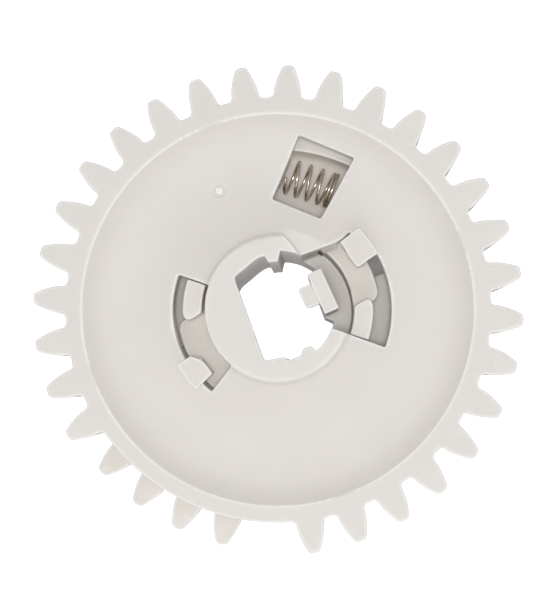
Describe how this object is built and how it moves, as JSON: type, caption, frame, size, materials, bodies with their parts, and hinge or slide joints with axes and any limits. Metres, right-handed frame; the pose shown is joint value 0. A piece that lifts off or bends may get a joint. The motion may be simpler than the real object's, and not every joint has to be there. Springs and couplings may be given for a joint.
{
  "type": "two-layer trigger spur gear",
  "caption": "Spur gear with a toothless sector, a spring-loaded second gear turning behind it on its hub, arc slots, snap hooks and a keyed bore with a latch finger.",
  "frame": {"origin": "on the gears' axis, at the hub's back end, where the gear stands when it lies front face up", "axes": "+Z along the axis, out of the front face; +X square to the bore's flat, from the flat towards the latch finger, and through the middle of a tooth"},
  "size_m": [0.034, 0.034, 0.0136],
  "materials": {
    "front_acetal": "natural white acetal, as moulded, with a faint sheen",
    "rear_acetal": "natural white acetal, as moulded, with a faint sheen",
    "spring_steel": "bright spring wire with a warm brown tint"
  },
  "bodies": {
    "front_gear_body": {"front_gear": "front_acetal", "compression_spring": "spring_steel"},
    "rear_gear_body": {"rear_gear": "rear_acetal"},
    "left_hook_body": {"left_snap_hook": "rear_acetal"},
    "right_hook_body": {"right_snap_hook": "rear_acetal"},
    "latch_finger_body": {"latch_finger": "front_acetal"}
  },
  "joints": [
    {"name": "trigger_turn", "type": "hinge", "parent": "front_gear_body", "child": "rear_gear_body", "pos_m": [0, 0, 0.009], "axis": [0, 0, 1], "range_deg": [0, 3], "stiffness_Nm_per_rad": 0.08, "deforming": ["compression_spring"]},
    {"name": "left_hook_flex", "type": "hinge", "parent": "rear_gear_body", "child": "left_hook_body", "pos_m": [-0.00631, -0.00179, 0.0105], "axis": [-0.2723, 0.9622, 0], "range_deg": [0, 8], "stiffness_Nm_per_rad": 0.3},
    {"name": "right_hook_flex", "type": "hinge", "parent": "rear_gear_body", "child": "right_hook_body", "pos_m": [0.00631, 0.00179, 0.0105], "axis": [0.2723, -0.9622, 0], "range_deg": [0, 8], "stiffness_Nm_per_rad": 0.3},
    {"name": "latch_flex", "type": "hinge", "parent": "front_gear_body", "child": "latch_finger_body", "pos_m": [0.00337, 0, 0.0068], "axis": [0, 1, 0], "range_deg": [0, 8], "stiffness_Nm_per_rad": 0.3}
  ]
}
